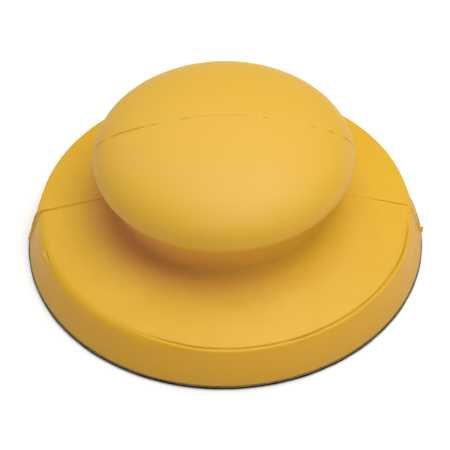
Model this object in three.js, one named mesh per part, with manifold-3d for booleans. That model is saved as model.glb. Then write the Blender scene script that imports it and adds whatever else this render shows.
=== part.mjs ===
// Round hand float: a mushroom-shaped moulding of integral-skin foam, with a hook-and-loop
// facing bonded under its base. Millimetres, +Z up. The origin is the centre of the face that
// rests on the work, and the mould's parting plane is the XZ plane.
import * as THREE from "three";
import { mergeVertices } from "three/addons/utils/BufferGeometryUtils.js";
import Module from "manifold-3d";

// The hook-and-loop facing, from the work upwards.
const FACING_RADIUS = 75;
const HOOK_HEIGHT = 0.9;
const GROUND_CLOTH = 0.4;
const ADHESIVE = 0.2;
const FOAM_FOOT = HOOK_HEIGHT + GROUND_CLOTH + ADHESIVE;

// The base of the moulding: a drafted side wall under a shallow cone.
const FOOT_RADIUS = 74.8;
const RIM = { radius: 70, height: 16 };
const CONE_RISE = 0.268;
const RIM_ROUND = 1.2;

// The neck between the base and the knob. It widens upwards by NECK_LEAN.
const NECK_RADIUS = 40;
const NECK_LEAN = 0.2;
const NECK_BLEND = 3.2;
const UNDERSIDE_BLEND = 8;

// The knob: two half ellipses that share their widest circle.
const KNOB_RADIUS = 48;
const KNOB_WIDEST = 44;
const KNOB_CROWN = 19;
const KNOB_UNDERSIDE = 11.8;
const UNDERSIDE_END = THREE.MathUtils.degToRad(22);

// The skin, and the clearance that keeps its solid out of the core's.
const SKIN = 2;
const CLEARANCE = 0.3;

// The flash on the parting line, and the lug that it leaves at each end of that line.
const FLASH = { proud: 0.3, width: 0.6 };
const LUG = { proud: 1.1, height: 3 };

const ROUND_SEGMENTS = 48;
const CURVE_STEPS = 4;
const SHORTEST_STEP = 0.01;

const wasm = await Module();
wasm.setup();

function solid(geometry) {
  geometry.deleteAttribute("normal");
  geometry.deleteAttribute("uv");
  const merged = mergeVertices(geometry);
  const mesh = new wasm.Mesh({
    numProp: 3,
    vertProperties: merged.attributes.position.array,
    triVerts: new Uint32Array(merged.index.array),
  });
  return new wasm.Manifold(mesh);
}

function geometryOf(manifold) {
  const { vertProperties, triVerts } = manifold.getMesh();
  const geometry = new THREE.BufferGeometry();
  geometry.setAttribute("position", new THREE.BufferAttribute(vertProperties, 3));
  geometry.setIndex(new THREE.BufferAttribute(triVerts, 1));
  geometry.computeVertexNormals();
  return geometry;
}

// Turns a profile of (radius, height) points that starts and ends on the axis.
function turned(points) {
  const geometry = new THREE.LatheGeometry(points, ROUND_SEGMENTS);
  return geometry.rotateX(Math.PI / 2);
}

function disc(radius, bottom, top) {
  const corners = [[0, bottom], [radius, bottom], [radius, top], [0, top]];
  return turned(corners.map(([r, z]) => new THREE.Vector2(r, z)));
}

// The moulding's outline from its foot up to the crown, set inwards by a distance. A negative
// distance gives the outline of the flash.
function outline(inset) {
  const wallSlope = (RIM.radius - FOOT_RADIUS) / (RIM.height - FOAM_FOOT);
  const wallShift = inset * Math.hypot(1, wallSlope);
  const coneShift = inset * Math.hypot(1, CONE_RISE);
  const wall = (z) => FOOT_RADIUS - wallShift + wallSlope * (z - FOAM_FOOT);
  const cone = (r) => RIM.height - coneShift + CONE_RISE * (RIM.radius - r);

  // The corner where the offset wall and cone meet.
  const gap = cone(wall(RIM.height)) - RIM.height;
  const cornerZ = RIM.height + gap / (1 + CONE_RISE * wallSlope);
  const corner = new THREE.Vector2(wall(cornerZ), cornerZ);

  const foot = NECK_RADIUS - inset * Math.hypot(1, NECK_LEAN);
  const root = cone(foot);
  const neck = (rise) => new THREE.Vector2(foot + NECK_LEAN * rise, root + rise);

  const [a, underside, crown] = [KNOB_RADIUS, KNOB_UNDERSIDE, KNOB_CROWN].map((s) => s - inset);
  const end = new THREE.Vector2(
    a * Math.cos(UNDERSIDE_END),
    KNOB_WIDEST - underside * Math.sin(UNDERSIDE_END),
  );
  const endSlope = underside / (a * Math.tan(UNDERSIDE_END));
  const roofRise = (end.y + endSlope * (foot - end.x) - root) / (1 - endSlope * NECK_LEAN);
  const [stem, top, roof] = [NECK_BLEND, roofRise - UNDERSIDE_BLEND, roofRise].map(neck);

  const path = new THREE.Path();
  path.moveTo(wall(FOAM_FOOT), FOAM_FOOT);
  path.lineTo(wall(corner.y - RIM_ROUND), corner.y - RIM_ROUND);
  path.quadraticCurveTo(corner.x, corner.y, corner.x - RIM_ROUND, cone(corner.x - RIM_ROUND));
  path.lineTo(foot + NECK_BLEND, cone(foot + NECK_BLEND));
  path.quadraticCurveTo(foot, root, stem.x, stem.y);
  path.lineTo(top.x, top.y);
  path.quadraticCurveTo(roof.x, roof.y, end.x, end.y);
  path.absellipse(0, KNOB_WIDEST, a, underside, -UNDERSIDE_END, 0);
  path.absellipse(0, KNOB_WIDEST, a, crown, 0, Math.PI / 2);

  const points = path.getPoints(CURVE_STEPS);
  points[points.length - 1].x = 0;
  return points.filter((p, i) => i === 0 || p.distanceTo(points[i - 1]) > SHORTEST_STEP);
}

// The whole moulding, or what lies inside its skin, standing on the plane at height foot.
function moulding(inset, foot = FOAM_FOOT) {
  const points = outline(inset);
  const below = foot < FOAM_FOOT ? [new THREE.Vector2(points[0].x, foot)] : [];
  return turned([new THREE.Vector2(0, foot), ...below, ...points]);
}

// A thin plate in the parting plane that stands proud of the moulding all the way over it.
function flash() {
  const edge = outline(-FLASH.proud).filter((p) => p.y > FOAM_FOOT + LUG.height);
  const lug = [
    new THREE.Vector2(FOOT_RADIUS + LUG.proud, FOAM_FOOT),
    new THREE.Vector2(FOOT_RADIUS + LUG.proud / 2, FOAM_FOOT + LUG.height),
  ];
  const right = [...lug, ...edge];
  const left = right.slice(0, -1).reverse().map((p) => new THREE.Vector2(-p.x, p.y));
  const plate = new THREE.ExtrudeGeometry(new THREE.Shape([...right, ...left]), {
    depth: FLASH.width,
    bevelEnabled: false,
  });
  return plate.rotateX(Math.PI / 2).translate(0, FLASH.width / 2, 0);
}

function skinGeometry() {
  const cavity = solid(moulding(SKIN, FOAM_FOOT - SKIN));
  const whole = solid(moulding(0)).add(solid(flash()));
  return geometryOf(whole.subtract(cavity));
}

function coreGeometry() {
  return moulding(SKIN + CLEARANCE);
}

const FINISHES = {
  skin: { color: "#e3b445", roughness: 0.55, metalness: 0 },
  foam: { color: "#d9b765", roughness: 0.95, metalness: 0 },
  adhesive: { color: "#8a7f55", roughness: 0.4, metalness: 0 },
  cloth: { color: "#16140f", roughness: 0.9, metalness: 0 },
  hooks: { color: "#1d1a14", roughness: 0.6, metalness: 0 },
};

function part(name, geometry, finish) {
  const mesh = new THREE.Mesh(geometry, new THREE.MeshStandardMaterial(FINISHES[finish]));
  mesh.name = name;
  return mesh;
}

function facing() {
  const group = new THREE.Group();
  const clothTop = HOOK_HEIGHT + GROUND_CLOTH;
  group.add(part("hook_pile", disc(FACING_RADIUS, 0, HOOK_HEIGHT), "hooks"));
  group.add(part("hook_tape_ground", disc(FACING_RADIUS, HOOK_HEIGHT, clothTop), "cloth"));
  group.add(part("adhesive_film", disc(FOOT_RADIUS, clothTop, FOAM_FOOT), "adhesive"));
  return group;
}

function handle() {
  const group = new THREE.Group();
  group.add(part("moulded_skin", skinGeometry(), "skin"));
  group.add(part("foam_core", coreGeometry(), "foam"));
  return group;
}

const float = new THREE.Group();
float.add(facing(), handle());

export default float;
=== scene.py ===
"""Round hand float: the looks, built in Blender 4.5 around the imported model.

The float is one moulding of integral-skin polyurethane foam, a palm knob on a short neck over
a round base, with a hook-and-loop tape bonded under it. Nothing on it moves.
"""

import itertools
import logging
import math
from collections.abc import Callable
from dataclasses import dataclass, field
from enum import Enum

import bpy
import numpy as np
from mathutils import Matrix, Vector


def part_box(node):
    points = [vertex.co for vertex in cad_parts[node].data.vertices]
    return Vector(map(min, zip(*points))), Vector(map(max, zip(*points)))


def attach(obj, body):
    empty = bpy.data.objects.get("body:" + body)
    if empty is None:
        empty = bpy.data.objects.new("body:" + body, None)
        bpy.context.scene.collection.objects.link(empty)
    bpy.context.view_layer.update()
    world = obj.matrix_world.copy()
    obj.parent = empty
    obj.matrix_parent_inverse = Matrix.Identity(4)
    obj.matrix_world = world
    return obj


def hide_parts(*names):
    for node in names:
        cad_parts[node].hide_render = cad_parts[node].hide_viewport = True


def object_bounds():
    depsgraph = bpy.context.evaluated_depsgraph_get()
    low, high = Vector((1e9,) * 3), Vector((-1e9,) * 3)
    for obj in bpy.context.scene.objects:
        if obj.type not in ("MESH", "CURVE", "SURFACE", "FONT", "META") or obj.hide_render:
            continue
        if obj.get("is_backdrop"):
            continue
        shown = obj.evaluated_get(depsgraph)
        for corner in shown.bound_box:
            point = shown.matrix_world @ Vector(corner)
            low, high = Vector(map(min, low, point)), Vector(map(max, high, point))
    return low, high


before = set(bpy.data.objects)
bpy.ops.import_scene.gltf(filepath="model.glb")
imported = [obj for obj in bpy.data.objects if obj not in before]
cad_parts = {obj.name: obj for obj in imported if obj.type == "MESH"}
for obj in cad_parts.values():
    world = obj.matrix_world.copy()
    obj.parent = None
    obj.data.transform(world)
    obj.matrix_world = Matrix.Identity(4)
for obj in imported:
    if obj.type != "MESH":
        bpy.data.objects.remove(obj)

LOG = logging.getLogger("hand_float")
MM = 0.001
ROOT = "root"
WHITE = "#FFFFFF"

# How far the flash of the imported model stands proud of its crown, in millimetres.
PACKED_FLASH = 0.3

# The attribute that says how much dirt and painted groove shade each point of the skin holds, from 0 to 1.
DIRT_AND_SHADE = "dirt_and_shade"


# --------------------------------------------------------------------------- small helpers


def linear(hex_colour: str) -> tuple[float, float, float, float]:
    """Turns an sRGB hex colour into Blender's linear colour.

    Args:
        hex_colour: A colour such as "#E8B23A".

    Returns:
        Linear red, green, blue and an alpha of 1.
    """
    parts = [int(hex_colour[i : i + 2], 16) / 255 for i in (1, 3, 5)]
    light = [c / 12.92 if c <= 0.04045 else ((c + 0.055) / 1.055) ** 2.4 for c in parts]
    return (light[0], light[1], light[2], 1.0)


def add_node(tree: bpy.types.NodeTree, kind: str, links: dict | None = None, **settings) -> bpy.types.Node:
    """Adds one node to a tree, with its settings, values and links.

    Args:
        tree: The shader or geometry tree.
        kind: The node's type name.
        links: Input name or number, to an output socket or to a plain value.
        settings: Properties of the node itself.

    Returns:
        The new node.
    """
    node = tree.nodes.new(kind)
    for name, value in settings.items():
        setattr(node, name, value)
    for key, value in (links or {}).items():
        if isinstance(value, bpy.types.NodeSocket):
            tree.links.new(value, node.inputs[key])
        else:
            node.inputs[key].default_value = value
    return node


def mesh_object(name: str, points: np.ndarray, faces: list) -> bpy.types.Object:
    """Makes a smooth-shaded mesh object from points in millimetres.

    Args:
        name: The piece's name.
        points: Positions, one row each, in millimetres.
        faces: Tuples of point numbers, wound so that faces point outwards.

    Returns:
        The object, at the origin, linked to the scene.
    """
    mesh = bpy.data.meshes.new(name)
    mesh.from_pydata((points * MM).tolist(), [], faces)
    mesh.validate()
    mesh.shade_smooth()
    piece = bpy.data.objects.new(name, mesh)
    bpy.context.scene.collection.objects.link(piece)
    return piece


def bare_material(name: str) -> tuple[bpy.types.Material, bpy.types.NodeTree, bpy.types.NodeSocket]:
    """Starts a material with an empty tree.

    Args:
        name: The material's name.

    Returns:
        The material, its tree, and the output that gives Object coordinates in that tree.
    """
    material = bpy.data.materials.new(name)
    material.use_nodes = True
    tree = material.node_tree
    tree.nodes.clear()
    return material, tree, add_node(tree, "ShaderNodeTexCoord").outputs["Object"]


def store_values(piece: bpy.types.Object, name: str, values: np.ndarray) -> None:
    """Stores one number for each point of a piece, for its material to read."""
    layer = piece.data.attributes.new(name, "FLOAT", "POINT")
    layer.data.foreach_set("value", values.astype(np.float32))


def dress(piece: bpy.types.Object, material: bpy.types.Material) -> None:
    """Gives a piece its one material."""
    piece.data.materials.clear()
    piece.data.materials.append(material)


def direction(azimuth: float, elevation: float) -> Vector:
    """Unit vector from the float towards a place given by two angles in degrees."""
    a, e = math.radians(azimuth), math.radians(elevation)
    return Vector((math.sin(a) * math.cos(e), -math.cos(a) * math.cos(e), math.sin(e)))


def circle(radius: np.ndarray | float, height: np.ndarray | float, angle: np.ndarray) -> np.ndarray:
    """Positions at angles in radians, round circles whose size and height may vary."""
    return np.stack([radius * np.cos(angle), radius * np.sin(angle), height + 0 * angle], axis=-1)


def bump_of(distance: np.ndarray, centre: float, width: float) -> np.ndarray:
    """Returns a bell curve of height 1 about a centre."""
    return np.exp(-(((distance - centre) / width) ** 2))


def plateau(distance: np.ndarray, half_width: float, edge: float) -> np.ndarray:
    """Returns 1 within half_width of zero, falling to 0 over a soft edge."""
    return 0.5 * (np.tanh((distance + half_width) / edge) - np.tanh((distance - half_width) / edge))


def around(angle: np.ndarray, centre: float) -> np.ndarray:
    """Returns the signed angle from a centre, in degrees, between -180 and 180."""
    return (angle - centre + 180) % 360 - 180


class Lumps:
    """Seeded value noise that can be read at any points in space."""

    SIDE = 32

    def __init__(self, seed: int) -> None:
        """Draws the lattice of values for one seed."""
        self.lattice = np.random.default_rng(seed).uniform(-1, 1, (self.SIDE,) * 3)

    def at(self, points: np.ndarray, cell: float) -> np.ndarray:
        """Reads the noise.

        Args:
            points: Positions, in an array whose last axis is x, y and z.
            cell: The size of one lump, in the unit of the points.

        Returns:
            Values between -1 and 1, one for each point.
        """
        scaled = points / cell
        low = np.floor(scaled).astype(int)
        part = scaled - low
        part = part * part * (3 - 2 * part)
        total = np.zeros(points.shape[:-1])
        for corner in itertools.product((0, 1), repeat=3):
            at = (low + corner) % self.SIDE
            weight = np.prod(np.where(corner, part, 1 - part), axis=-1)
            total += weight * self.lattice[at[..., 0], at[..., 1], at[..., 2]]
        return total


# --------------------------------------------------------------------------- finishes


@dataclass(frozen=True)
class MouldedSkin:
    """Self-skinned polyurethane foam as it leaves the mould.

    The skin is dense and a little waxy: pigment right through, a satin surface with a fine
    orange peel from the mould, faint cloudy patches and scattered pinholes. Painted shade
    makes the sides deeper and redder than the upward faces, and painted light makes the crown
    paler. The skin is rougher in a ring round the neck, and a painted shadow under the knob
    gives that ring a brownish shade, most on the left. Painted shade darkens the foot, and
    dirt with painted shade darkens the grooves.

    A pair of numbers says where a shade starts and where it is full: as the upward part of
    the surface's direction for sideways, as distances in millimetres for the rest.
    """

    pigment: str = "#E7B42A"
    pale_patch: str = "#E9B82F"
    deep_patch: str = "#E5B025"
    # Painted tones: shade on the sides, light on the crown, a shadow under the knob, and shade at the
    # foot; the last also gives the grooves their dirt and painted shade.
    painted_side_shade: str = "#E5A912"
    painted_crown_light: str = "#E8B740"
    painted_knob_shadow: str = "#E8A558"
    dirt_and_shade: str = "#A98934"
    sideways: tuple[float, float] = (0.8, 0.3)
    ring_radius: tuple[float, float] = (54.0, 42.0)
    ring_height: tuple[float, float] = (40.0, 33.0)
    leftward: tuple[float, float] = (34.0, -34.0)
    crown_height: tuple[float, float] = (32.0, 60.0)
    foot_height: tuple[float, float] = (13.0, 1.0)
    foot_share: float = 0.3
    groove_share: float = 0.5
    cloud_mm: float = 26.0
    fleck_mm: float = 5.0
    fleck_share: float = 0.35
    patch_span: tuple[float, float] = (0.34, 0.66)
    peel_mm: float = 0.9
    peel_share: float = 0.35
    lump_contrast: float = 0.58
    pinhole_mm: float = 2.6
    pinhole_edge: tuple[float, float] = (0.03, 0.08)
    relief: float = 0.55
    relief_mm: float = 0.1
    roughness: float = 0.56
    patch_gloss: float = 0.12
    gloss_span: tuple[float, float] = (0.3, 0.7)
    ring_dulling: float = 0.35
    ior: float = 1.5
    specular: float = 0.39

    def lumps(self, tree: bpy.types.NodeTree, place: bpy.types.NodeSocket) -> dict:
        """Makes the noise of the clouds, the flecks and the orange peel.

        Args:
            tree: The material's tree.
            place: Object coordinates.

        Returns:
            Each one's values by name, about 0.5.
        """
        lumps = {}
        sizes = {"cloud": self.cloud_mm, "fleck": self.fleck_mm, "peel": self.peel_mm}
        for name, size in sizes.items():
            links = {"Vector": place, "Scale": 1 / (size * MM), "Roughness": self.lump_contrast}
            lumps[name] = add_node(tree, "ShaderNodeTexNoise", {**links, "Detail": 3.0}).outputs["Fac"]
        return lumps

    def shares(self, tree: bpy.types.NodeTree, place: bpy.types.NodeSocket) -> dict:
        """Works out where the skin takes painted side shade, painted crown light, the painted shadow
        under the knob, painted shade at the foot, and dirt with painted shade in the grooves.

        Args:
            tree: The material's tree.
            place: Object coordinates.

        Returns:
            The shares by name, each from 0 to 1. The ring is the band round the neck under the knob,
            which is rougher and on its left takes the painted shadow.
        """
        at = add_node(tree, "ShaderNodeSeparateXYZ", {0: place}).outputs
        flat = add_node(tree, "ShaderNodeCombineXYZ", {0: at[0], 1: at[1]}).outputs[0]
        reach = add_node(tree, "ShaderNodeVectorMath", {0: flat}, operation="LENGTH").outputs["Value"]
        normal = add_node(tree, "ShaderNodeNewGeometry").outputs["Normal"]
        upward = add_node(tree, "ShaderNodeSeparateXYZ", {0: normal}).outputs[2]
        # How deep the grooves sink at each point, which sets their dirt and painted shade.
        held_dirt_and_shade = add_node(tree, "ShaderNodeAttribute", attribute_name=DIRT_AND_SHADE).outputs["Fac"]
        fades = {
            # Painted shade: the less a face points up, the deeper and redder it gets.
            "sideways": (upward, 1.0, self.sideways, 1.0),
            "near_neck": (reach, MM, self.ring_radius, 1.0),
            "below_knob": (at[2], MM, self.ring_height, 1.0),
            "left": (at[0], MM, self.leftward, 1.0),
            # Painted light: the crown gets paler with height.
            "painted_crown_light": (at[2], MM, self.crown_height, 1.0),
            # Painted shade: the wall gets darker towards the foot.
            "foot": (at[2], MM, self.foot_height, self.foot_share),
            # Dirt and painted shade in the grooves, by how deep each mark sinks.
            "groove": (held_dirt_and_shade, 1.0, (0.0, 1.0), self.groove_share),
        }
        shares = {}
        for name, (value, unit, (none, full), top) in fades.items():
            links = {"Value": value, "From Min": none * unit, "From Max": full * unit, "To Max": top}
            shares[name] = add_node(tree, "ShaderNodeMapRange", links).outputs["Result"]
        # The ring round the neck under the knob: rougher, and on its left it takes the painted shadow.
        links = {0: shares["near_neck"], 1: shares["below_knob"]}
        ring = add_node(tree, "ShaderNodeMath", links, operation="MULTIPLY").outputs[0]
        off_ring = add_node(tree, "ShaderNodeMath", {0: 1.0, 1: ring}, operation="SUBTRACT")
        # Painted shade on the sides, kept off the ring.
        links = {0: shares["sideways"], 1: off_ring.outputs[0]}
        painted_side_shade = add_node(tree, "ShaderNodeMath", links, operation="MULTIPLY").outputs[0]
        # Painted shadow under the knob, on the left of the ring.
        links = {0: shares["left"], 1: ring}
        painted_knob_shadow = add_node(tree, "ShaderNodeMath", links, operation="MULTIPLY").outputs[0]
        return {**shares, "ring": ring, "painted_side_shade": painted_side_shade, "painted_knob_shadow": painted_knob_shadow}

    def normal(
        self, tree: bpy.types.NodeTree, place: bpy.types.NodeSocket, peel: bpy.types.NodeSocket
    ) -> bpy.types.NodeSocket:
        """Makes the orange peel and pinholes.

        Args:
            tree: The material's tree.
            place: Object coordinates.
            peel: The peel's noise.

        Returns:
            The bumped normal.
        """
        pores = add_node(
            tree, "ShaderNodeTexVoronoi", {"Vector": place, "Scale": 1 / (self.pinhole_mm * MM)}
        )
        low, high = self.pinhole_edge
        links = {"Value": pores.outputs["Distance"], "From Min": low, "From Max": high}
        pinhole = add_node(tree, "ShaderNodeMapRange", links).outputs["Result"]
        links = {0: peel, 1: self.peel_share, 2: pinhole}
        height = add_node(tree, "ShaderNodeMath", links, operation="MULTIPLY_ADD").outputs[0]
        links = {"Height": height, "Strength": self.relief, "Distance": self.relief_mm * MM}
        return add_node(tree, "ShaderNodeBump", links).outputs["Normal"]

    def build(self) -> bpy.types.Material:
        """Makes the material.

        Returns:
            The material.
        """
        material, tree, place = bare_material("moulded_polyurethane_skin")
        lumps, shares = self.lumps(tree, place), self.shares(tree, place)
        links = {"Factor": self.fleck_share, "A": lumps["cloud"], "B": lumps["fleck"]}
        patch = add_node(tree, "ShaderNodeMix", links).outputs[0]
        ramp_node = add_node(tree, "ShaderNodeValToRGB", {"Fac": patch})
        ramp = ramp_node.color_ramp
        shades = zip(ramp.elements, self.patch_span, (self.deep_patch, self.pale_patch))
        for element, position, shade in shades:
            element.position = position
            element.color = linear(shade)
        ramp.elements.new(0.5).color = linear(self.pigment)
        colour = ramp_node.outputs["Color"]
        # Painted shade on the sides, painted light on the crown, a painted shadow under the knob, painted
        # shade at the foot, and dirt with painted shade in the grooves.
        tones = {
            "painted_side_shade": self.painted_side_shade,
            "painted_crown_light": self.painted_crown_light,
            "painted_knob_shadow": self.painted_knob_shadow,
            "foot": self.dirt_and_shade,
            "groove": self.dirt_and_shade,
        }
        for name, tone in tones.items():
            links = {"Fac": shares[name], "Color1": colour, "Color2": linear(tone)}
            colour = add_node(tree, "ShaderNodeMixRGB", links).outputs[0]
        low, high = self.gloss_span
        links = {"Value": patch, "From Min": low, "From Max": high}
        links |= {"To Min": self.roughness, "To Max": self.roughness - self.patch_gloss}
        rough = add_node(tree, "ShaderNodeMapRange", links).outputs["Result"]
        links = {0: shares["ring"], 1: self.ring_dulling, 2: rough}
        dulled = add_node(tree, "ShaderNodeMath", links, operation="MULTIPLY_ADD").outputs[0]
        shader = add_node(
            tree,
            "ShaderNodeBsdfPrincipled",
            {
                "Base Color": colour,
                "Roughness": dulled,
                "Normal": self.normal(tree, place, lumps["peel"]),
                "IOR": self.ior,
                "Specular IOR Level": self.specular,
            },
        )
        add_node(tree, "ShaderNodeOutputMaterial", {"Surface": shader.outputs[0]})
        return material


@dataclass(frozen=True)
class GrainedFinish:
    """What the finishes under the skin share: two shades that follow one raised pattern.

    Attributes:
        name: The material's name.
        low: Colour where the pattern is low.
        high: Colour where the pattern is high.
        span: The pattern's values at those two colours.
        grain_mm: Size of one grain of the pattern.
        roughness: The surface's roughness.
        relief: How strongly the pattern is raised.
        relief_mm: How high the pattern is raised at most.
        ior: Refractive index.
        specular: How much of that index's reflection the surface keeps.
    """

    name: str
    low: str
    high: str
    span: tuple[float, float]
    grain_mm: float
    roughness: float
    relief: float
    relief_mm: float
    ior: float
    specular: float = 0.5

    def pattern(self, tree: bpy.types.NodeTree, place: bpy.types.NodeSocket) -> bpy.types.NodeSocket:
        """Makes the pattern, a plain noise unless the finish has its own.

        Args:
            tree: The material's tree.
            place: Object coordinates.

        Returns:
            The pattern's values.
        """
        links = {"Vector": place, "Scale": 1 / (self.grain_mm * MM), "Detail": 3.0}
        return add_node(tree, "ShaderNodeTexNoise", links).outputs["Fac"]

    def build(self) -> bpy.types.Material:
        """Makes the material.

        Returns:
            The material.
        """
        material, tree, place = bare_material(self.name)
        pattern = self.pattern(tree, place)
        colour = add_node(tree, "ShaderNodeValToRGB", {"Fac": pattern})
        for element, position, shade in zip(colour.color_ramp.elements, self.span, (self.low, self.high)):
            element.position = position
            element.color = linear(shade)
        links = {"Height": pattern, "Strength": self.relief, "Distance": self.relief_mm * MM}
        bump = add_node(tree, "ShaderNodeBump", links)
        shader = add_node(
            tree,
            "ShaderNodeBsdfPrincipled",
            {
                "Base Color": colour.outputs["Color"],
                "Normal": bump.outputs["Normal"],
                "Roughness": self.roughness,
                "IOR": self.ior,
                "Specular IOR Level": self.specular,
            },
        )
        add_node(tree, "ShaderNodeOutputMaterial", {"Surface": shader.outputs[0]})
        return material


@dataclass(frozen=True)
class CellularFoam(GrainedFinish):
    """Open polyurethane foam of the core: pale, matt and full of small bubbles."""

    name: str = "cellular_polyurethane_foam"
    low: str = "#B98F3C"
    high: str = "#E3C678"
    span: tuple[float, float] = (0.15, 0.6)
    grain_mm: float = 0.7
    roughness: float = 0.95
    relief: float = 0.8
    relief_mm: float = 0.3
    ior: float = 1.45

    def pattern(self, tree: bpy.types.NodeTree, place: bpy.types.NodeSocket) -> bpy.types.NodeSocket:
        """Makes the bubbles."""
        links = {"Vector": place, "Scale": 1 / (self.grain_mm * MM)}
        return add_node(tree, "ShaderNodeTexVoronoi", links).outputs["Distance"]


@dataclass(frozen=True)
class ContactAdhesive(GrainedFinish):
    """Dried contact adhesive: a dull olive-tan rubbery film with brush marks."""

    name: str = "dried_contact_adhesive"
    low: str = "#6E5F3C"
    high: str = "#9C8650"
    span: tuple[float, float] = (0.35, 0.65)
    grain_mm: float = 1.6
    roughness: float = 0.42
    relief: float = 0.5
    relief_mm: float = 0.1
    ior: float = 1.52


@dataclass(frozen=True)
class BlackPolyamide(GrainedFinish):
    """Black polyamide, as woven yarn, as a coated back or as drawn hook wire.

    Yarn is dull and fibrous, the coated back is matt, and the wire has a clean satin glint.
    The stretch draws the grain out along an axis, as fibres are.
    """

    span: tuple[float, float] = (0.3, 0.7)
    grain_mm: float = 0.6
    roughness: float = 0.9
    relief: float = 0.4
    relief_mm: float = 0.05
    ior: float = 1.53
    stretch: tuple[float, float, float] = (1.0, 1.0, 1.0)

    def pattern(self, tree: bpy.types.NodeTree, place: bpy.types.NodeSocket) -> bpy.types.NodeSocket:
        """Makes the fibres.

        Args:
            tree: The material's tree.
            place: Object coordinates.

        Returns:
            The fibres' values.
        """
        turned = add_node(tree, "ShaderNodeMapping", {"Vector": place, "Scale": self.stretch})
        links = {"Vector": turned.outputs["Vector"], "Scale": 1 / (self.grain_mm * MM), "Detail": 2.0}
        return add_node(tree, "ShaderNodeTexNoise", links).outputs["Fac"]


COATED_BACK = BlackPolyamide(
    "coated_tape_back", "#150D04", "#241909", grain_mm=0.8, specular=0.15
)
WOVEN_YARN = BlackPolyamide(
    "woven_polyamide_yarn",
    "#0D0C0A",
    "#262219",
    grain_mm=0.25,
    roughness=0.75,
    relief=0.6,
    stretch=(0.25, 1.0, 1.0),
)
HOOK_WIRE = BlackPolyamide(
    "drawn_polyamide_hook_wire", "#100E0B", "#1B1812", roughness=0.38, relief=0.1
)


@dataclass(frozen=True)
class PaleFloor:
    """A matt white acrylic table, lit faintly from below so that it has no grey patches."""

    colour: str = "#F9F9F9"
    roughness: float = 0.9
    specular: float = 0.1
    glow: float = 0.16

    def build(self) -> bpy.types.Material:
        """Makes the material.

        Returns:
            The material.
        """
        material = bpy.data.materials.new("pale_studio_floor")
        material.use_nodes = True
        shader = material.node_tree.nodes["Principled BSDF"]
        values = {
            "Base Color": linear(self.colour),
            "Roughness": self.roughness,
            "Specular IOR Level": self.specular,
            "Emission Color": linear(WHITE),
            "Emission Strength": self.glow,
        }
        for socket, value in values.items():
            shader.inputs[socket].default_value = value
        return material


# --------------------------------------------------------------------------- the outline


def straight(start: tuple, end: tuple, steps: int) -> np.ndarray:
    """Points along a line, without its end.

    Args:
        start: Radius and height of the first point.
        end: Radius and height that the line runs to.
        steps: How many points.

    Returns:
        The points, one row each.
    """
    return np.linspace(start, end, steps, endpoint=False)


def bend(start: tuple, corner: tuple, end: tuple, steps: int) -> np.ndarray:
    """Points along a quadratic curve that rounds a corner, without its end.

    Args:
        start: Where the curve leaves the first line.
        corner: Where the two lines would meet.
        end: Where the curve joins the second line.
        steps: How many points.

    Returns:
        The points, one row each.
    """
    t = np.linspace(0, 1, steps, endpoint=False)[:, None]
    a, b, c = (np.array(p, float) for p in (start, corner, end))
    return (1 - t) ** 2 * a + 2 * t * (1 - t) * b + t**2 * c


def along(path: np.ndarray, shares: np.ndarray) -> np.ndarray:
    """Reads a polyline at shares of its length.

    Args:
        path: The polyline's points.
        shares: Shares of its length, from 0 to 1.

    Returns:
        One point for each share.
    """
    run = np.concatenate([[0], np.cumsum(np.linalg.norm(np.diff(path, axis=0), axis=1))])
    return np.stack([np.interp(shares * run[-1], run, path[:, k]) for k in (0, 1)], axis=1)


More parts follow.
